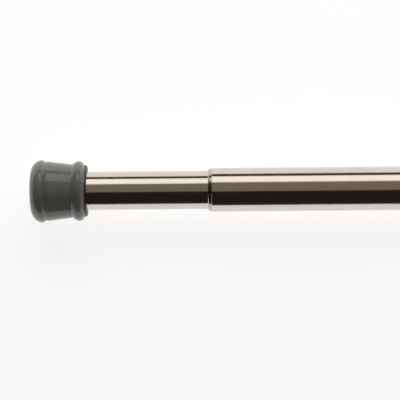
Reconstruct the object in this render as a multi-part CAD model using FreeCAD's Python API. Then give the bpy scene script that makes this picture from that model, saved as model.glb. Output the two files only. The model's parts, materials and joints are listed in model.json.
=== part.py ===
import FreeCAD, Part
import math
import os

# Telescopic doorway pull up bar, pressed between two door jambs by a lead screw.
# X runs along the bar, from the outer face of the swivel foot at X = 0 to the far foot.
# Y = Z = 0 is the bar's axis, and +Z is up. All sizes are in millimetres.
# Turning the thin tube winds the screw through the nut and pushes the two feet apart.

V = FreeCAD.Vector
AXIS = V(1, 0, 0)
CENTRE = V(0, 0, 0)

# Fits and gaps, all radial unless named otherwise.
run_gap = 0.10          # a tube turning or sliding in its bearing
bearing_gap = 0.05      # the pivot bolt in its bush
seat_gap = 0.05         # one piece seated in another and not moving
thread_gap = 0.35       # lead screw ridge in the nut's groove, all round
free_gap = 0.30         # moving piece beside one that it must not touch
thrust_gap = 0.10       # axial play of the swivel

# Tubes.
inner_tube_od = 28.0
inner_tube_wall = 1.5
outer_tube_wall = 1.2
outer_tube_length = 551.6
slip_wall = 0.65        # mouth bush between the two tubes
tube_edge = 0.45        # rounding of a tube's cut end

# How far the bar is out, and how far it goes.
exposed_length = 87.5   # thin tube that shows at rest
closed_exposed = 2.5    # thin tube that still shows when the bar is wound in
least_overlap = 120.0   # tube that stays inside tube when the bar is wound out
closed_clearance = 1.6  # nut to the screw's collar when the bar is wound in
stop_clearance = 1.0    # stop washer to the nut when the bar is wound out

# Feet, measured from each foot's outer face.
boot_floor = 5.0
plate_thickness = 1.5
boot_length = 39.7
foot_length = 40.4
socket_depth = 20.4     # how deep a foot's socket holds its tube end
core_wall = 1.95        # around the thick tube
core_flange = 0.5       # height of the rim that traps the boot's lip
rib_height = 0.6
rib_width = 3.0
rib_from_mouth = 15.0
face_inset = 3.5        # the flat face is this much smaller than the core
tread_depth = 1.0
tread_width = 1.5
tread_pitch = 3.8

# Rubber boot: wall over the core, and distance from the foot's face.
bead_wall, bead_at = 4.8, 7.2
shoulder_wall, shoulder_at = 1.75, 2.1
bead_back_wall, bead_back_at = 4.2, 9.4
notch_wall, notch_at = 3.3, 10.7
cone_wall, cone_at = 3.7, 12.3
cone_end_wall, cone_end_at = 1.4, 29.9
ring_front_wall, ring_front_at = 2.9, 31.9
ring_wall, ring_at = 3.9, 34.9
ring_back_wall, ring_back_at = 3.0, 37.0
lip_wall, lip_at = 1.0, 38.7

# Swivel: bolt, washers and bush.
bolt_r = 4.0
bolt_flats = 13.0
bolt_head = 5.3
bolt_grip = 29.5
washer_r = 8.0
washer_thickness = 1.6
bush_wall = 2.0
bush_flange_wall = 5.0
bush_flange = 1.5
thrust_r = 12.0
thrust_thickness = 1.0
pocket_clearance = 1.0  # around the bolt head or the lock nut

# End plug in the thin tube.
end_plug_flange = 2.0
end_plug_length = 27.0
pin_r = 2.0
end_pin_at = 9.0        # from the thin tube's outer end
end_pin_wall = 1.5      # left between a pin and the bolt

# Lead screw and nut.
screw_r = 8.0
thread_depth = 2.0
lead = 8.0
ridge_crest = 2.6
ridge_slope = 0.6       # added to each flank from crest to root
ridge_root_sink = 0.4   # how far the ridge is buried in the screw's core
nut_length = 30.0
nut_flange = 4.0
rivet_r = 1.5
rivet_count = 3
rivet_from_flange = 15.0
rivet_wall = 1.5        # left between a rivet and the thread
guide_length = 40.0
collar_length = 6.0
stop_washer = 2.0
stop_washer_inset = 1.0
stop_r = 3.0
stop_head_r = 5.0
stop_head = 6.0
stop_depth = 14.0
stop_key_flats = 5.0
stop_key_depth = 3.0
end_chamfer = 0.8

# Far end: plug, pin and lock nut.
shank_step = 1.0        # the shank is this much smaller than the thread's root
anchor_flange = 3.0
anchor_length = 40.0
anchor_pin_at = 8.0     # from the thick tube's outer end
lock_washer_r = 10.0
lock_washer = 1.6
lock_nut_flats = 17.0
lock_nut = 8.4
shank_proud = 2.0

# Mouth bush between the tubes.
nose_length = 2.5
nose_tip_wall = 0.55
nose_shoulder_wall = 0.95
nose_shoulder = 0.5     # length of the nose's rounded tip
nose_root_wall = 1.50
bush_length = 34.6

# Radii that follow.
inner_r = inner_tube_od / 2
inner_bore_r = inner_r - inner_tube_wall
outer_bore_r = inner_r + run_gap + slip_wall + seat_gap
outer_r = outer_bore_r + outer_tube_wall
core_r = outer_r + seat_gap + core_wall
boot_bore_r = core_r + seat_gap
root_r = screw_r - thread_depth
shank_r = root_r - shank_step
nut_bore_r = root_r + thread_gap
groove_r = screw_r + thread_gap

# Places along X that follow.
core_at = boot_floor + plate_thickness
socket_at = foot_length - socket_depth
pocket_floor = core_at + free_gap + bolt_head + washer_thickness + thrust_gap
thrust_at = socket_at + bush_flange
end_plug_x = thrust_at + thrust_thickness + thrust_gap
inner_tube_x = end_plug_x + end_plug_flange
mouth_x = foot_length + exposed_length
outer_tube_x = mouth_x + nose_length
outer_tube_end = outer_tube_x + outer_tube_length
bar_length = outer_tube_end + anchor_flange + socket_at
anchor_face = outer_tube_end - anchor_length
travel_in = exposed_length - closed_exposed
nut_end = anchor_face - collar_length - closed_clearance - travel_in
inner_tube_end = nut_end - nut_flange
nut_x = inner_tube_end - nut_length
travel_out = inner_tube_end - outer_tube_x - least_overlap
screw_tip = nut_x - travel_out - stop_clearance
ridge_x = screw_tip + lead / 2


def tube(x_from, x_to, r_out, r_in=0.0):
    """A round bar about the X axis, hollow when r_in is given."""
    bar = Part.makeCylinder(r_out, x_to - x_from, V(x_from, 0, 0), AXIS)
    if r_in > 0:
        bar = bar.cut(Part.makeCylinder(r_in, x_to - x_from, V(x_from, 0, 0), AXIS))
    return bar


def turned(edges):
    """A solid of revolution about the X axis from the edges of a closed half section."""
    face = Part.Face(Part.Wire(edges))
    return face.revolve(CENTRE, AXIS, 360)


def section(points):
    """A solid of revolution from straight lines through (x, radius) points."""
    corners = [V(x, r, 0) for x, r in points]
    return turned(Part.makePolygon(corners + corners[:1]).Edges)


def chamfered(x_from, x_to, r_out, chamfer):
    """A round bar with both rims chamfered."""
    return section([(x_from, 0), (x_from, r_out - chamfer), (x_from + chamfer, r_out),
                    (x_to - chamfer, r_out), (x_to, r_out - chamfer), (x_to, 0)])


def hexagon(x_from, x_to, flats):
    """A hexagonal prism along X with its corners chamfered."""
    corner_r = flats / 2 / math.cos(math.pi / 6)
    corners = [V(x_from, corner_r * math.cos(k * math.pi / 3), corner_r * math.sin(k * math.pi / 3))
               for k in range(7)]
    prism = Part.Face(Part.makePolygon(corners)).extrude(V(x_to - x_from, 0, 0))
    return prism.common(chamfered(x_from, x_to, corner_r, corner_r - flats / 2))


def flush(wall_r, pin_radius):
    """How far a pin reaches from the axis when the rim of its end is level with a round wall."""
    return math.sqrt(wall_r ** 2 - pin_radius ** 2)


def radial_pin(x, r, from_r, to_r, angle):
    """A round pin that points away from the X axis, turned by angle degrees about it."""
    pin = Part.makeCylinder(r, to_r - from_r, V(x, 0, from_r), V(0, 0, 1))
    pin.rotate(CENTRE, AXIS, angle)
    return pin


def rounded_tube(x_from, x_to, r_out, r_in, edge):
    """A cut tube whose two outer rims are rounded."""
    half = edge * (1 - math.sqrt(0.5))
    near, far = x_from + edge, x_to - edge
    low = r_out - edge
    return turned([
        Part.LineSegment(V(x_from, r_in, 0), V(x_from, low, 0)).toShape(),
        Part.Arc(V(x_from, low, 0), V(x_from + half, r_out - half, 0), V(near, r_out, 0)).toShape(),
        Part.LineSegment(V(near, r_out, 0), V(far, r_out, 0)).toShape(),
        Part.Arc(V(far, r_out, 0), V(x_to - half, r_out - half, 0), V(x_to, low, 0)).toShape(),
        Part.LineSegment(V(x_to, low, 0), V(x_to, r_in, 0)).toShape(),
        Part.LineSegment(V(x_to, r_in, 0), V(x_from, r_in, 0)).toShape()])


def ridge(x_from, x_to, crest_r, gap):
    """One right-hand ridge wound about the X axis, grown by gap on each flank."""
    base_r = root_r - ridge_root_sink
    depth = crest_r - base_r
    crest_half = ridge_crest / 2 + gap
    base_half = crest_half + ridge_slope * depth / thread_depth
    corners = [V(base_r, 0, -base_half), V(crest_r, 0, -crest_half),
               V(crest_r, 0, crest_half), V(base_r, 0, base_half)]
    helix = Part.Wire(Part.makeLongHelix(lead, x_to - x_from, root_r, 0, False).Edges)
    sweep = Part.BRepOffsetAPI.MakePipeShell(helix)
    sweep.setFrenetMode(True)
    sweep.add(Part.makePolygon(corners + corners[:1]))
    sweep.build()
    sweep.makeSolid()
    wound = sweep.shape()
    wound.rotate(CENTRE, V(0, 1, 0), 90)
    wound.translate(V(x_from, 0, 0))
    return wound


def mirrored_end(shape):
    """The same piece on the far foot: turned end for end about the bar's middle."""
    shape.rotate(V(bar_length / 2, 0, 0), V(0, 0, 1), 180)
    return shape


# Feet.

def boot_outline():
    """The boot's outer half section, from the centre of its face to its mouth."""
    def at(x, wall):
        return V(x, core_r + wall, 0)

    face_rim = at(0, -face_inset)
    bead, notch, cone = at(bead_at, bead_wall), at(notch_at, notch_wall), at(cone_at, cone_wall)
    cone_end, ring, lip = at(cone_end_at, cone_end_wall), at(ring_at, ring_wall), at(lip_at, lip_wall)
    mouth = at(boot_length, lip_wall)
    bore = V(boot_length, boot_bore_r, 0)
    floor_rim = V(boot_floor, boot_bore_r, 0)
    floor = V(boot_floor, 0, 0)
    return [
        Part.LineSegment(CENTRE, face_rim).toShape(),
        Part.Arc(face_rim, at(shoulder_at, shoulder_wall), bead).toShape(),
        Part.Arc(bead, at(bead_back_at, bead_back_wall), notch).toShape(),
        Part.LineSegment(notch, cone).toShape(),
        Part.LineSegment(cone, cone_end).toShape(),
        Part.Arc(cone_end, at(ring_front_at, ring_front_wall), ring).toShape(),
        Part.Arc(ring, at(ring_back_at, ring_back_wall), lip).toShape(),
        Part.LineSegment(lip, mouth).toShape(),
        Part.LineSegment(mouth, bore).toShape(),
        Part.LineSegment(bore, floor_rim).toShape(),
        Part.LineSegment(floor_rim, floor).toShape(),
        Part.LineSegment(floor, CENTRE).toShape()]


def foot_boot():
    """Rubber boot with tread rings on its face and a groove for the core's rib."""
    boot = turned(boot_outline())
    rib_at = foot_length - rib_from_mouth
    groove_floor = core_r + rib_height + seat_gap
    boot = boot.cut(tube(rib_at - seat_gap, rib_at + rib_width + seat_gap, groove_floor, core_r))
    ring_r = tread_pitch
    while ring_r + tread_width < core_r - face_inset:
        boot = boot.cut(tube(0, tread_depth, ring_r + tread_width, ring_r))
        ring_r += tread_pitch
    return boot


def foot_plate():
    """Steel disc between the boot's floor and the core, which spreads the load."""
    return tube(boot_floor, core_at, core_r - seat_gap, bolt_r)


def foot_core(tube_r, pocket_r, pocket_to):
    """Nylon core with a socket for a tube end and a pocket for the fastener behind it."""
    rib_at = foot_length - rib_from_mouth
    core = tube(core_at, foot_length, core_r)
    core = core.fuse(tube(rib_at, rib_at + rib_width, core_r + rib_height, core_r - core_flange))
    core = core.fuse(chamfered(boot_length, foot_length, core_r + core_flange, core_flange / 2))
    core = core.cut(tube(socket_at, foot_length, tube_r))
    return core.cut(tube(core_at, pocket_to, pocket_r))


def swivel_foot_core():
    """Core that the thin tube turns in, bored through its web for the pivot bush."""
    core = foot_core(inner_r + run_gap, head_pocket_r(), pocket_floor)
    return core.cut(tube(pocket_floor, socket_at, bush_r() + seat_gap))


def fixed_foot_core():
    """Core pressed on the thick tube, open through its web for the lock nut."""
    pocket_r = lock_washer_r + pocket_clearance
    return mirrored_end(foot_core(outer_r + seat_gap, pocket_r, socket_at))


# Swivel.

def bush_r():
    """Outer radius of the pivot bush."""
    return bolt_r + bearing_gap + bush_wall


def head_pocket_r():
    """Radius of the pocket that the bolt's head turns in."""
    corner_r = bolt_flats / 2 / math.cos(math.pi / 6)
    return max(corner_r, washer_r) + pocket_clearance


def pivot_bolt():
    """Hexagon bolt that holds the swivel foot on the thin tube's plug."""
    head_from = core_at + free_gap
    head_to = head_from + bolt_head
    shank = chamfered(head_to - end_chamfer, head_to + bolt_grip, bolt_r, end_chamfer)
    return hexagon(head_from, head_to, bolt_flats).fuse(shank)


def pivot_washer():
    """Steel washer under the bolt's head."""
    washer_x = pocket_floor - thrust_gap - washer_thickness
    return tube(washer_x, washer_x + washer_thickness, washer_r, bolt_r + seat_gap)


def pivot_bush():
    """Flanged bronze bush in the core's web."""
    sleeve = tube(pocket_floor, socket_at, bush_r(), bolt_r + bearing_gap)
    flange = tube(socket_at, thrust_at, bolt_r + bush_flange_wall, bolt_r + bearing_gap)
    return sleeve.fuse(flange)


def thrust_washer():
    """Plastic washer that takes the bar's push on the swivel foot."""
    return tube(thrust_at, thrust_at + thrust_thickness, thrust_r, bolt_r + run_gap)


# Thin tube and what turns with it.

def end_plug_pins(r=pin_r, slack=0.0):
    """Two radial pins that lock the end plug in the thin tube."""
    pin_x = inner_tube_x + end_pin_at
    inner_end = bolt_r + end_pin_wall - slack
    outer_end = flush(inner_r, pin_r) + slack
    pins = [radial_pin(pin_x, r, inner_end, outer_end, angle) for angle in (90, 270)]
    return Part.makeCompound(pins)


def inner_tube():
    """Thin tube, drilled for the end plug's pins and the nut's rivets."""
    plain = rounded_tube(inner_tube_x, inner_tube_end, inner_r, inner_bore_r, tube_edge)
    holes = [end_plug_pins(pin_r + seat_gap, run_gap), nut_rivets(rivet_r + seat_gap, run_gap)]
    return plain.cut(Part.makeCompound(holes))


def tube_end_plug():
    """Steel plug in the thin tube's end, tapped for the pivot bolt."""
    plug_end = inner_tube_x + end_plug_length
    bolt_end = core_at + free_gap + bolt_head + bolt_grip
    plug = tube(end_plug_x, inner_tube_x, inner_r - run_gap)
    plug = plug.fuse(tube(inner_tube_x, plug_end, inner_bore_r - seat_gap))
    plug = plug.cut(tube(end_plug_x, bolt_end + end_chamfer, bolt_r + seat_gap))
    return plug.cut(end_plug_pins(pin_r + seat_gap, seat_gap))


def nut_rivets(r=rivet_r, slack=0.0):
    """Rivets through the guide sleeve and the thin tube into the nut."""
    rivet_x = nut_end - nut_flange - rivet_from_flange
    inner_end = groove_r + rivet_wall - slack
    outer_end = flush(outer_bore_r - free_gap, rivet_r) + slack
    turns = [k * 360 / rivet_count for k in range(rivet_count)]
    return Part.makeCompound([radial_pin(rivet_x, r, inner_end, outer_end, turn) for turn in turns])


def drive_nut():
    """Nut in the thin tube's inner end, cut with the lead screw's groove."""
    nut = tube(nut_x, inner_tube_end, inner_bore_r - seat_gap)
    nut = nut.fuse(tube(inner_tube_end, nut_end, outer_bore_r - free_gap))
    nut = nut.cut(tube(nut_x, nut_end, nut_bore_r))
    turns_before = math.floor((nut_x - ridge_x) / lead) - 1
    groove_from = ridge_x + turns_before * lead
    groove = ridge(groove_from, nut_end + lead, groove_r, thread_gap)
    return nut.cut(groove).cut(nut_rivets(rivet_r + seat_gap, seat_gap))


def guide_sleeve():
    """Acetal sleeve on the thin tube's inner end, which slides in the thick tube."""
    sleeve = tube(inner_tube_end - guide_length, inner_tube_end, outer_bore_r - run_gap, inner_r + seat_gap)
    return sleeve.cut(nut_rivets(rivet_r + seat_gap, run_gap + free_gap))


# Thick tube and what moves with it.

def outer_tube():
    """Thick tube, drilled at its far end for the anchor pin."""
    plain = rounded_tube(outer_tube_x, outer_tube_end, outer_r, outer_bore_r, tube_edge)
    return plain.cut(anchor_pin(pin_r + seat_gap, seat_gap))


def mouth_bush():
    """Plated brass bush in the thick tube's mouth, with a short tapered nose."""
    bore_r = inner_r + run_gap
    end = outer_tube_x + bush_length
    return section([(mouth_x, bore_r), (mouth_x, inner_r + nose_tip_wall),
                    (mouth_x + nose_shoulder, inner_r + nose_shoulder_wall),
                    (outer_tube_x, inner_r + nose_root_wall), (outer_tube_x, outer_bore_r - seat_gap),
                    (end, outer_bore_r - seat_gap), (end, bore_r)])


def lead_screw():
    """Screw with one ridge, a collar at the far end and a shank through the anchor plug."""
    shank_end = bar_length - socket_at + lock_washer + lock_nut + shank_proud
    collar_x = anchor_face - collar_length
    screw = chamfered(screw_tip, collar_x + end_chamfer, root_r, end_chamfer)
    screw = screw.fuse(ridge(ridge_x, collar_x - lead / 2, screw_r, 0.0))
    screw = screw.fuse(tube(collar_x, anchor_face, screw_r))
    screw = screw.fuse(chamfered(anchor_face - end_chamfer, shank_end, shank_r, end_chamfer))
    screw = screw.cut(tube(screw_tip, screw_tip + stop_depth, stop_r + seat_gap))
    return screw.cut(anchor_pin(pin_r + seat_gap, seat_gap))


def tip_stop_washer():
    """Washer on the screw's tip, which meets the nut before the tubes part."""
    washer_x = screw_tip - stop_washer
    return tube(washer_x, screw_tip, inner_bore_r - stop_washer_inset, stop_r + seat_gap)


def tip_stop_screw():
    """Socket head screw that holds the stop washer."""
    head_to = screw_tip - stop_washer
    head = chamfered(head_to - stop_head, head_to, stop_head_r, end_chamfer / 2)
    shank_end = screw_tip + stop_depth - end_chamfer
    screw = head.fuse(chamfered(head_to - end_chamfer, shank_end, stop_r, end_chamfer / 2))
    key = hexagon(head_to - stop_head - end_chamfer, head_to - stop_head + stop_key_depth, stop_key_flats)
    return screw.cut(key)


def anchor_pin(r=pin_r, slack=0.0):
    """Cross pin through the thick tube, the anchor plug and the screw's shank."""
    reach = flush(outer_r, pin_r) + slack
    pin_x = outer_tube_end - anchor_pin_at
    return Part.makeCylinder(r, 2 * reach, V(pin_x, 0, -reach), V(0, 0, 1))


def anchor_plug():
    """Steel plug that ties the screw to the thick tube's far end."""
    plug = tube(anchor_face, outer_tube_end, outer_bore_r - seat_gap)
    plug = plug.fuse(tube(outer_tube_end, outer_tube_end + anchor_flange, outer_r))
    plug = plug.cut(tube(anchor_face, outer_tube_end + anchor_flange, shank_r + seat_gap))
    return plug.cut(anchor_pin(pin_r + seat_gap, seat_gap))


def lock_washer_disc():
    """Washer between the anchor plug and the lock nut."""
    seat_x = bar_length - socket_at
    return tube(seat_x, seat_x + lock_washer, lock_washer_r, shank_r + seat_gap)


def lock_nut_hexagon():
    """Hexagon nut on the screw's shank."""
    seat_x = bar_length - socket_at + lock_washer
    return hexagon(seat_x, seat_x + lock_nut, lock_nut_flats).cut(
        tube(seat_x, seat_x + lock_nut, shank_r + seat_gap))


nodes = {
    "swivel_foot_boot": foot_boot,
    "swivel_foot_plate": foot_plate,
    "swivel_foot_core": swivel_foot_core,
    "pivot_bush": pivot_bush,
    "thrust_washer": thrust_washer,
    "pivot_bolt": pivot_bolt,
    "pivot_washer": pivot_washer,
    "tube_end_plug": tube_end_plug,
    "end_plug_pins": end_plug_pins,
    "inner_tube": inner_tube,
    "guide_sleeve": guide_sleeve,
    "drive_nut": drive_nut,
    "nut_rivets": nut_rivets,
    "outer_tube": outer_tube,
    "mouth_bush": mouth_bush,
    "lead_screw": lead_screw,
    "tip_stop_washer": tip_stop_washer,
    "tip_stop_screw": tip_stop_screw,
    "anchor_plug": anchor_plug,
    "anchor_pin": anchor_pin,
    "lock_washer": lock_washer_disc,
    "lock_nut": lock_nut_hexagon,
    "fixed_foot_core": fixed_foot_core,
    "fixed_foot_plate": lambda: mirrored_end(foot_plate()),
    "fixed_foot_boot": lambda: mirrored_end(foot_boot()),
}

os.makedirs("parts", exist_ok=True)
for node, build in nodes.items():
    shape = build()
    shape.exportStep(f"parts/{node}.step")
    low, high = shape.BoundBox.XMin, shape.BoundBox.XMax
    print(f"{node}: {len(shape.Solids)} solid, {shape.Volume:.0f} mm3, X {low:.1f} to {high:.1f}")
print(f"length {bar_length:.1f}, travel in {travel_in:.1f}, travel out {travel_out:.1f}")
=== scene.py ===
import json
import math

import bpy
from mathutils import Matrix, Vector, noise


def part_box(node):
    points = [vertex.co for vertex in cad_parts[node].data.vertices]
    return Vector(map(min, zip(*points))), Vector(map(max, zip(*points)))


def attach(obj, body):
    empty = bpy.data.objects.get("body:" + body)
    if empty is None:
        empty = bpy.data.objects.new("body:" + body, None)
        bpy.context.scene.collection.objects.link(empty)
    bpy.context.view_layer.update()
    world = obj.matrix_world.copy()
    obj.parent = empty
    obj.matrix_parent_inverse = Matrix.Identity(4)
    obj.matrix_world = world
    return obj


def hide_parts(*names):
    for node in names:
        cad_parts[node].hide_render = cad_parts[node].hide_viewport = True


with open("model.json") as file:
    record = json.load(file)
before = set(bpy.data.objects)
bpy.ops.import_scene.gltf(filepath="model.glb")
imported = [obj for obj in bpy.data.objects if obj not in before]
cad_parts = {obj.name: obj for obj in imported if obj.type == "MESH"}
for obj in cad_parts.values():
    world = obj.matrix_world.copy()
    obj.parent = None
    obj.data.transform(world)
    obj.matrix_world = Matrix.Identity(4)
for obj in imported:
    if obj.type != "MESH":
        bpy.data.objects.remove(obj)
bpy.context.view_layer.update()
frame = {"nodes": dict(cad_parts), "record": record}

MM = 0.001
SIDES = 240                 # facets round a turned piece

# Places from the CAD frame, in metres.
FOOT_LOW, FOOT_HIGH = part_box("swivel_foot_boot")
CORE_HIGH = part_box("swivel_foot_core")[1]
THIN_LOW, THIN_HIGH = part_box("inner_tube")
THICK_LOW, THICK_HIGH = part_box("outer_tube")
BUSH_LOW, BUSH_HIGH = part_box("mouth_bush")
BAR_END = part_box("fixed_foot_boot")[1].x
FLOOR_Z = FOOT_LOW.z

# Shared sizes of the feet and tubes, the same as the design's.
CORE_R = 18.0 * MM
SEAT_GAP = 0.05 * MM
RUN_GAP = 0.10 * MM
THIN_R = THIN_HIGH.y
THICK_R = THICK_HIGH.y
THIN_BORE_R = THIN_R - 1.5 * MM
THICK_BORE_R = THICK_R - 1.2 * MM
BOOT_FLOOR = 5.0 * MM
CORE_START = 6.5 * MM
SOCKET_START = 20.0 * MM
HEAD_POCKET_R = 9.0 * MM
HEAD_POCKET_END = 13.8 * MM
PIVOT_HOLE_R = 6.10 * MM
NUT_POCKET_R = 11.0 * MM
RIB_START = 25.4 * MM
RIB_WIDTH = 3.0 * MM
RIB_HEIGHT = 0.6 * MM
FLANGE_HEIGHT = 0.5 * MM

# How much the sharp edges of the pieces are eased.
BOOT_EDGE = 0.30 * MM
CORE_EDGE = 0.25 * MM
TUBE_EDGE = 0.45 * MM
BUSH_EDGE = 0.15 * MM

CORNER_TURN = math.radians(20)      # an outline that turns more than this has a corner
CREASE_TURN = math.radians(40)      # faces that meet at more than this are shaded apart


# ---- Outlines: lists of (x, radius) points in metres ----

def arc(start, through, end, steps=14):
    """Points along the circle from start, by way of through, to end. The start isn't repeated."""
    (ax, ay), (bx, by), (cx, cy) = start, through, end
    d = 2 * (ax * (by - cy) + bx * (cy - ay) + cx * (ay - by))
    a2, b2, c2 = ax * ax + ay * ay, bx * bx + by * by, cx * cx + cy * cy
    ox = (a2 * (by - cy) + b2 * (cy - ay) + c2 * (ay - by)) / d
    oy = (a2 * (cx - bx) + b2 * (ax - cx) + c2 * (bx - ax)) / d
    radius = math.hypot(ax - ox, ay - oy)
    first = math.atan2(ay - oy, ax - ox)
    middle = (math.atan2(by - oy, bx - ox) - first) % math.tau
    last = (math.atan2(cy - oy, cx - ox) - first) % math.tau
    sweep = last if middle < last else last - math.tau
    return [(ox + radius * math.cos(first + sweep * k / steps),
             oy + radius * math.sin(first + sweep * k / steps)) for k in range(1, steps + 1)]


def softened(points, edge, steps=4):
    """The closed outline with each corner that turns sharply rounded by about edge.

    A guard point just past each end of a rounding keeps the shading of the long faces flat.
    """
    out = []
    count = len(points)
    for k in range(count):
        before, here, after = (Vector(points[(k + j) % count]) for j in (-1, 0, 1))
        back, on = before - here, after - here
        turn = math.pi - back.angle(on) if back.length > 0 and on.length > 0 else 0.0
        if turn < CORNER_TURN or here.y < 1e-9:
            out.append(tuple(here))
            continue
        reach = min(edge, 0.4 * back.length, 0.4 * on.length)
        guard = reach + 0.08 * min(edge, back.length, on.length)
        a, b = here + back.normalized() * reach, here + on.normalized() * reach
        out.append(tuple(here + back.normalized() * guard))
        for j in range(steps + 1):
            t = j / steps
            out.append(tuple(a * (1 - t) ** 2 + here * 2 * t * (1 - t) + b * t * t))
        out.append(tuple(here + on.normalized() * guard))
    return out


def divided(points, longest):
    """The closed outline with its long stretches cut into pieces no longer than longest."""
    out = []
    for k, here in enumerate(points):
        after = points[(k + 1) % len(points)]
        cuts = max(1, math.ceil(math.dist(here, after) / longest))
        out += [(here[0] + (after[0] - here[0]) * j / cuts, here[1] + (after[1] - here[1]) * j / cuts)
                for j in range(cuts)]
    return out


# ---- Meshes ----

def turned(name, outline, shape=None):
    """A closed mesh made by turning the outline about the X axis.

    shape(x, r, angle), where given, says what radius a point takes.
    """
    rings, verts = [], []
    for x, r in outline:
        ring = []
        for k in range(1 if r < 1e-9 else SIDES):
            angle = math.tau * k / SIDES
            radius = shape(x, r, angle) if shape and r > 1e-9 else r
            ring.append(len(verts))
            verts.append((x, radius * math.sin(angle), radius * math.cos(angle)))
        rings.append(ring)
    faces = []
    for k, ring in enumerate(rings):
        after = rings[(k + 1) % len(rings)]
        if len(ring) == 1 and len(after) == 1:
            continue
        for j in range(SIDES):
            i = (j + 1) % SIDES
            corners = [ring[j % len(ring)], ring[i % len(ring)],
                       after[i % len(after)], after[j % len(after)]]
            faces.append(list(dict.fromkeys(corners)))
    mesh = bpy.data.meshes.new(name)
    mesh.from_pydata(verts, [], faces)
    mesh.validate()
    mesh.polygons.foreach_set("use_smooth", [True] * len(mesh.polygons))
    mesh.set_sharp_from_angle(angle=CREASE_TURN)
    piece = bpy.data.objects.new(name, mesh)
    bpy.context.scene.collection.objects.link(piece)
    return piece


def far_end(piece):
    """Turns a foot piece end for end about the middle of the bar."""
    for vertex in piece.data.vertices:
        vertex.co.x = BAR_END - vertex.co.x
        vertex.co.y = -vertex.co.y
    return piece


def stands_for(piece, node, body, material):
    """Puts a finished piece in the place of a CAD node."""
    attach(piece, body)
    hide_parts(node)
    piece.data.materials.append(material)


# ---- The boot ----

def boot_outline():
    """The boot's closed half section: face, bead, cone, mouth ring, lip, and the bore with its groove."""
    def at(x, wall):
        """The point x along the boot and wall outside the core, both in millimetres."""
        return (x * MM, CORE_R + wall * MM)

    face_rim = at(0, -3.5)
    bead, bead_back, notch, cone = at(7.2, 4.8), at(9.4, 4.2), at(10.7, 3.3), at(12.3, 3.7)
    cone_end, ring_front, ring, ring_back, lip = (
        at(29.9, 1.4), at(31.9, 2.9), at(34.9, 3.9), at(37.0, 3.0), at(38.7, 1.0))
    bore_r = CORE_R + SEAT_GAP
    groove_r = bore_r + RIB_HEIGHT
    outline = [(0.0, 0.0)] + tread_outline(face_rim[1]) + [face_rim]
    outline += arc(face_rim, at(2.1, 1.75), bead, 26)
    outline += arc(bead, bead_back, notch, 12)
    outline += [cone, cone_end]
    outline += arc(cone_end, ring_front, ring, 16)
    outline += arc(ring, ring_back, lip, 16)
    outline += [(FOOT_HIGH.x, CORE_R + 1.0 * MM), (FOOT_HIGH.x, bore_r)]
    outline += [(RIB_START + RIB_WIDTH + SEAT_GAP, bore_r), (RIB_START + RIB_WIDTH + SEAT_GAP, groove_r)]
    outline += [(RIB_START - SEAT_GAP, groove_r), (RIB_START - SEAT_GAP, bore_r)]
    outline += [(BOOT_FLOOR, bore_r), (BOOT_FLOOR, 0.0)]
    return divided(softened(outline, BOOT_EDGE), longest=1.2 * MM)


def tread_outline(face_r):
    """The ring grooves in the boot's face, from the middle out."""
    pitch, width, depth, draft = 3.8 * MM, 1.5 * MM, 1.0 * MM, 0.2 * MM
    points, r = [], pitch
    while r + width < face_r:
        points += [(0.0, r), (depth, r + draft), (depth, r + width - draft), (0.0, r + width)]
        r += pitch
    return points


def moulded(x, r, angle):
    """Slight sink and flow marks of a soft moulding, all inward, and its fine parting line."""
    mark_size, deepest, line_height, line_width = 9 * MM, 0.035 * MM, 0.05 * MM, 0.25 * MM
    spot = Vector((x, r * math.sin(angle), r * math.cos(angle))) / mark_size
    sink = deepest * (0.5 + 0.5 * noise.noise(spot))
    off_line = min(abs(angle - math.pi / 2), abs(angle - 3 * math.pi / 2)) * r
    line = line_height * math.exp(-(off_line / line_width) ** 2)
    outside = min(1.0, max(0.0, (r - CORE_R - 0.7 * MM) / (0.4 * MM)))
    return r - outside * max(0.0, sink - line)


def core_outline(tube_r, pocket_r, pocket_end, hole_r):
    """A foot core's closed half section, with its pocket, web hole and tube socket."""
    rib_end = RIB_START + RIB_WIDTH
    flange_r = CORE_R + FLANGE_HEIGHT
    flange_x = FOOT_HIGH.x
    points = [(CORE_START, CORE_R), (RIB_START, CORE_R), (RIB_START, CORE_R + RIB_HEIGHT),
              (rib_end, CORE_R + RIB_HEIGHT), (rib_end, CORE_R), (flange_x, CORE_R), (flange_x, flange_r),
              (CORE_HIGH.x, flange_r), (CORE_HIGH.x, tube_r), (SOCKET_START, tube_r)]
    if hole_r < pocket_r:
        points += [(SOCKET_START, hole_r), (pocket_end, hole_r), (pocket_end, pocket_r)]
    else:
        points += [(SOCKET_START, pocket_r)]
    points += [(CORE_START, pocket_r)]
    return divided(softened(points, CORE_EDGE), longest=2.0 * MM)


def tube_outline(x_from, x_to, r_out, r_in):
    """A cut tube's closed half section with rounded outer rims."""
    points = [(x_from, r_in), (x_from, r_out), (x_to, r_out), (x_to, r_in)]
    return divided(softened(points, TUBE_EDGE, steps=6), longest=12 * MM)


def bush_outline():
    """The mouth bush's closed half section, nose first."""
    bore_r = THIN_R + RUN_GAP
    seat_r = THICK_BORE_R - SEAT_GAP
    points = [(BUSH_LOW.x, bore_r), (BUSH_LOW.x, THIN_R + 0.55 * MM),
              (BUSH_LOW.x + 0.5 * MM, THIN_R + 0.95 * MM), (THICK_LOW.x, THIN_R + 1.50 * MM),
              (THICK_LOW.x, seat_r), (BUSH_HIGH.x, seat_r), (BUSH_HIGH.x, bore_r)]
    return divided(softened(points, BUSH_EDGE, steps=3), longest=4 * MM)


# ---- Materials ----

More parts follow.
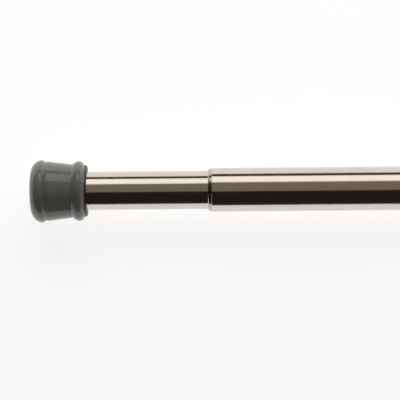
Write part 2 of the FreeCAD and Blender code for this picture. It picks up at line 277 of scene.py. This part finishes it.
class Shader:
    """A small helper that builds a node material round one Principled shader."""

    def __init__(self, name, colour, metallic, roughness):
        self.material = bpy.data.materials.new(name)
        self.material.use_nodes = True
        self.tree = self.material.node_tree
        self.bsdf = self.tree.nodes["Principled BSDF"]
        self.bsdf.inputs["Base Color"].default_value = (*colour, 1)
        self.bsdf.inputs["Metallic"].default_value = metallic
        self.bsdf.inputs["Roughness"].default_value = roughness
        self.place = self.node("ShaderNodeTexCoord").outputs["Object"]

    def node(self, kind, **values):
        """A new node, with values for its inputs."""
        made = self.tree.nodes.new(kind)
        for key, value in values.items():
            made.inputs[key].default_value = value
        return made

    def link(self, source, target):
        self.tree.links.new(source, target)

    def stretched(self, x, y, z):
        """Object coordinates scaled by x, y and z."""
        mapping = self.node("ShaderNodeMapping")
        mapping.inputs["Scale"].default_value = (x, y, z)
        self.link(self.place, mapping.inputs["Vector"])
        return mapping.outputs["Vector"]

    def noise(self, vector, scale, detail):
        made = self.node("ShaderNodeTexNoise", Scale=scale, Detail=detail)
        self.link(vector, made.inputs["Vector"])
        return made.outputs["Fac"]

    def spread(self, value, low, high):
        """The value from 0..1 moved to low..high."""
        made = self.node("ShaderNodeMapRange")
        made.inputs["To Min"].default_value = low
        made.inputs["To Max"].default_value = high
        self.link(value, made.inputs["Value"])
        return made.outputs["Result"]

    def bump(self, height, distance, strength=1.0):
        made = self.node("ShaderNodeBump")
        made.inputs["Strength"].default_value = strength
        made.inputs["Distance"].default_value = distance
        self.link(height, made.inputs["Height"])
        self.link(made.outputs["Normal"], self.bsdf.inputs["Normal"])

    def colour_by(self, value, dark, light):
        """Base colour that goes from dark to light with the value."""
        made = self.node("ShaderNodeValToRGB")
        for element, place, colour in zip(made.color_ramp.elements, (0.25, 0.75), (dark, light)):
            element.position = place
            element.color = (*colour, 1)
        self.link(value, made.inputs["Fac"])
        self.link(made.outputs["Color"], self.bsdf.inputs["Base Color"])

    def rough_by(self, value, low, high):
        self.link(self.spread(value, low, high), self.bsdf.inputs["Roughness"])


def plated(name, colour, light, roughness):
    """Bright nickel plate on drawn tube: long polishing lines, faint clouding and small ripples."""
    shader = Shader(name, colour, 1.0, roughness)
    lines = shader.noise(shader.stretched(6, 900, 900), 1.0, 3.0)
    clouds = shader.noise(shader.stretched(60, 60, 60), 1.0, 5.0)
    shader.colour_by(clouds, colour, light)
    shader.rough_by(lines, roughness, roughness + 0.05)
    ripple = shader.noise(shader.stretched(25, 220, 220), 1.0, 2.0)
    shader.bump(ripple, 0.000004)
    return shader.material


def rubber(name, dark, light):
    """Moulded grey rubber: satin sheen, faint mottling, and a fine grain."""
    shader = Shader(name, dark, 0.0, 0.3)
    mottle = shader.noise(shader.place, 140.0, 6.0)
    grain = shader.noise(shader.place, 2600.0, 3.0)
    shader.colour_by(mottle, dark, light)
    shader.rough_by(mottle, 0.07, 0.10)
    shader.bump(grain, 0.000004, 0.3)
    return shader.material


def plastic(name, dark, light, rough_low, rough_high):
    """Moulded or turned plastic with faint flow marks."""
    shader = Shader(name, dark, 0.0, rough_low)
    flow = shader.noise(shader.stretched(200, 500, 500), 1.0, 4.0)
    shader.colour_by(flow, dark, light)
    shader.rough_by(flow, rough_low, rough_high)
    shader.bump(shader.noise(shader.place, 1800.0, 2.0), 0.000015, 0.4)
    return shader.material


def machined(name, dark, light, rough_low, rough_high):
    """Turned metal: fine rings along X and uneven tone."""
    shader = Shader(name, dark, 1.0, rough_low)
    rings = shader.noise(shader.stretched(2500, 40, 40), 1.0, 2.0)
    tone = shader.noise(shader.place, 180.0, 5.0)
    shader.colour_by(tone, dark, light)
    shader.rough_by(rings, rough_low, rough_high)
    shader.bump(rings, 0.000012, 0.5)
    return shader.material


MATERIALS = {
    "plated_tube": plated("nickel_plate", (0.66, 0.61, 0.555), (0.70, 0.65, 0.595), 0.12),
    "grey_rubber": rubber("grey_rubber", (0.285, 0.295, 0.272), (0.330, 0.340, 0.318)),
    "black_nylon": plastic("black_nylon", (0.006, 0.006, 0.006), (0.012, 0.012, 0.012), 0.38, 0.50),
    "satin_plate": machined("satin_plate", (0.46, 0.42, 0.38), (0.56, 0.51, 0.46), 0.12, 0.18),
    "white_acetal": plastic("white_acetal", (0.70, 0.68, 0.62), (0.78, 0.76, 0.71), 0.35, 0.48),
    "zinc_steel": machined("zinc_steel", (0.55, 0.56, 0.58), (0.66, 0.67, 0.68), 0.25, 0.38),
    "turned_steel": machined("turned_steel", (0.42, 0.42, 0.43), (0.52, 0.52, 0.53), 0.22, 0.40),
    "oiled_steel": machined("oiled_steel", (0.26, 0.25, 0.235), (0.38, 0.365, 0.35), 0.18, 0.34),
    "black_oxide": machined("black_oxide", (0.035, 0.035, 0.038), (0.06, 0.06, 0.065), 0.32, 0.48),
    "brass": machined("brass", (0.72, 0.52, 0.24), (0.80, 0.61, 0.32), 0.20, 0.34),
    "bronze": machined("bronze", (0.46, 0.27, 0.14), (0.56, 0.35, 0.20), 0.34, 0.50),
}


def finish_cad_nodes():
    """Gives every CAD node the material of its slot."""
    for entry in frame["record"]["subparts"]:
        data = frame["nodes"][entry["node"]].data
        data.materials.clear()
        data.materials.append(MATERIALS[entry["material_slot"]])


# ---- The pieces ----

def make_feet():
    boot = turned("swivel_boot_skin", boot_outline(), moulded)
    stands_for(boot, "swivel_foot_boot", "swivel_foot", MATERIALS["grey_rubber"])
    boot = far_end(turned("fixed_boot_skin", boot_outline(), moulded))
    stands_for(boot, "fixed_foot_boot", "thick_tube", MATERIALS["grey_rubber"])
    swivel = core_outline(THIN_R + RUN_GAP, HEAD_POCKET_R, HEAD_POCKET_END, PIVOT_HOLE_R)
    core = turned("swivel_core_body", swivel)
    stands_for(core, "swivel_foot_core", "swivel_foot", MATERIALS["black_nylon"])
    fixed = core_outline(THICK_R + SEAT_GAP, NUT_POCKET_R, SOCKET_START, NUT_POCKET_R)
    core = far_end(turned("fixed_core_body", fixed))
    stands_for(core, "fixed_foot_core", "thick_tube", MATERIALS["black_nylon"])


def make_tubes():
    thin = turned("thin_tube_shell", tube_outline(THIN_LOW.x, THIN_HIGH.x, THIN_R, THIN_BORE_R))
    stands_for(thin, "inner_tube", "thin_tube", MATERIALS["plated_tube"])
    thick = turned("thick_tube_shell", tube_outline(THICK_LOW.x, THICK_HIGH.x, THICK_R, THICK_BORE_R))
    stands_for(thick, "outer_tube", "thick_tube", MATERIALS["plated_tube"])
    bush = turned("mouth_bush_body", bush_outline())
    stands_for(bush, "mouth_bush", "thick_tube", MATERIALS["satin_plate"])


# ---- Stage, light and camera ----

TABLE_HALF = 12.0           # half the table's side
TABLE_TONE = 0.80           # part of the light on it that the table returns
TABLE_GLOW = 0.82           # light that it gives off, as a light table does
ROOM_TONE = (0.018, 0.015, 0.013)
BOX_X = 0.25                # middle of the soft boxes along the bar
BOX_LENGTH = 1.6
SIDE_LIGHT = 1.3            # radiance of the soft boxes
OVERHEAD_LIGHT = 0.20
CAMERA_PLACE = (0.1221, -0.00735, 1.087)
CAMERA_TURN = math.radians(-0.5)    # about its line of sight
LENS = 135.0                # millimetres, on a sensor 36 mm wide


def make_floor():
    """A plain pale light table under the bar, the same all over and the same to every ray."""
    corners = [(-TABLE_HALF, -TABLE_HALF, FLOOR_Z), (TABLE_HALF, -TABLE_HALF, FLOOR_Z),
               (TABLE_HALF, TABLE_HALF, FLOOR_Z), (-TABLE_HALF, TABLE_HALF, FLOOR_Z)]
    mesh = bpy.data.meshes.new("table")
    mesh.from_pydata(corners, [], [(0, 1, 2, 3)])
    floor = bpy.data.objects.new("table", mesh)
    bpy.context.scene.collection.objects.link(floor)
    card = Shader("white_table", (TABLE_TONE, TABLE_TONE, TABLE_TONE), 0.0, 0.9)
    card.bsdf.inputs["Specular IOR Level"].default_value = 0.0
    card.bsdf.inputs["Emission Color"].default_value = (1, 1, 1, 1)
    card.bsdf.inputs["Emission Strength"].default_value = TABLE_GLOW
    floor.data.materials.append(card.material)


def make_room():
    """Even, dim surroundings on every side."""
    world = bpy.data.worlds.new("studio")
    bpy.context.scene.world = world
    world.use_nodes = True
    world.node_tree.nodes["Background"].inputs["Color"].default_value = (*ROOM_TONE, 1)


def make_lamp(name, place, size, radiance, colour):
    """A rectangular soft box that faces the bar's axis. Its radiance doesn't depend on its size."""
    data = bpy.data.lights.new(name, "AREA")
    data.shape = "RECTANGLE"
    data.size, data.size_y = size
    data.energy = radiance * math.pi * size[0] * size[1]
    data.color = colour
    lamp = bpy.data.objects.new(name, data)
    lamp.location = place
    from_axis = Vector(place) - Vector((place[0], 0, 0))
    lamp.rotation_euler = from_axis.to_track_quat("Z", "Y").to_euler()
    bpy.context.scene.collection.objects.link(lamp)


def make_lights():
    """Two large soft boxes that light everything: one towards +Y and a dim warm one overhead."""
    make_lamp("side_box", (BOX_X, 1.1, 0.75), (BOX_LENGTH, 0.8), SIDE_LIGHT, (1, 0.97, 0.94))
    make_lamp("overhead_box", (BOX_X, 0.35, 1.3), (BOX_LENGTH, 1.2), OVERHEAD_LIGHT, (1, 0.80, 0.68))


def make_camera():
    """Straight down on the near end, as if the bar lay on a table."""
    data = bpy.data.cameras.new("camera")
    data.sensor_width = 36.0
    data.lens = LENS
    camera = bpy.data.objects.new("camera", data)
    camera.location = CAMERA_PLACE
    camera.rotation_euler = (0, 0, CAMERA_TURN)
    bpy.context.scene.collection.objects.link(camera)
    bpy.context.scene.camera = camera


finish_cad_nodes()
make_feet()
make_tubes()
make_floor()
make_room()
make_lights()
make_camera()
bpy.context.scene.view_settings.view_transform = "Standard"
bpy.context.view_layer.update()
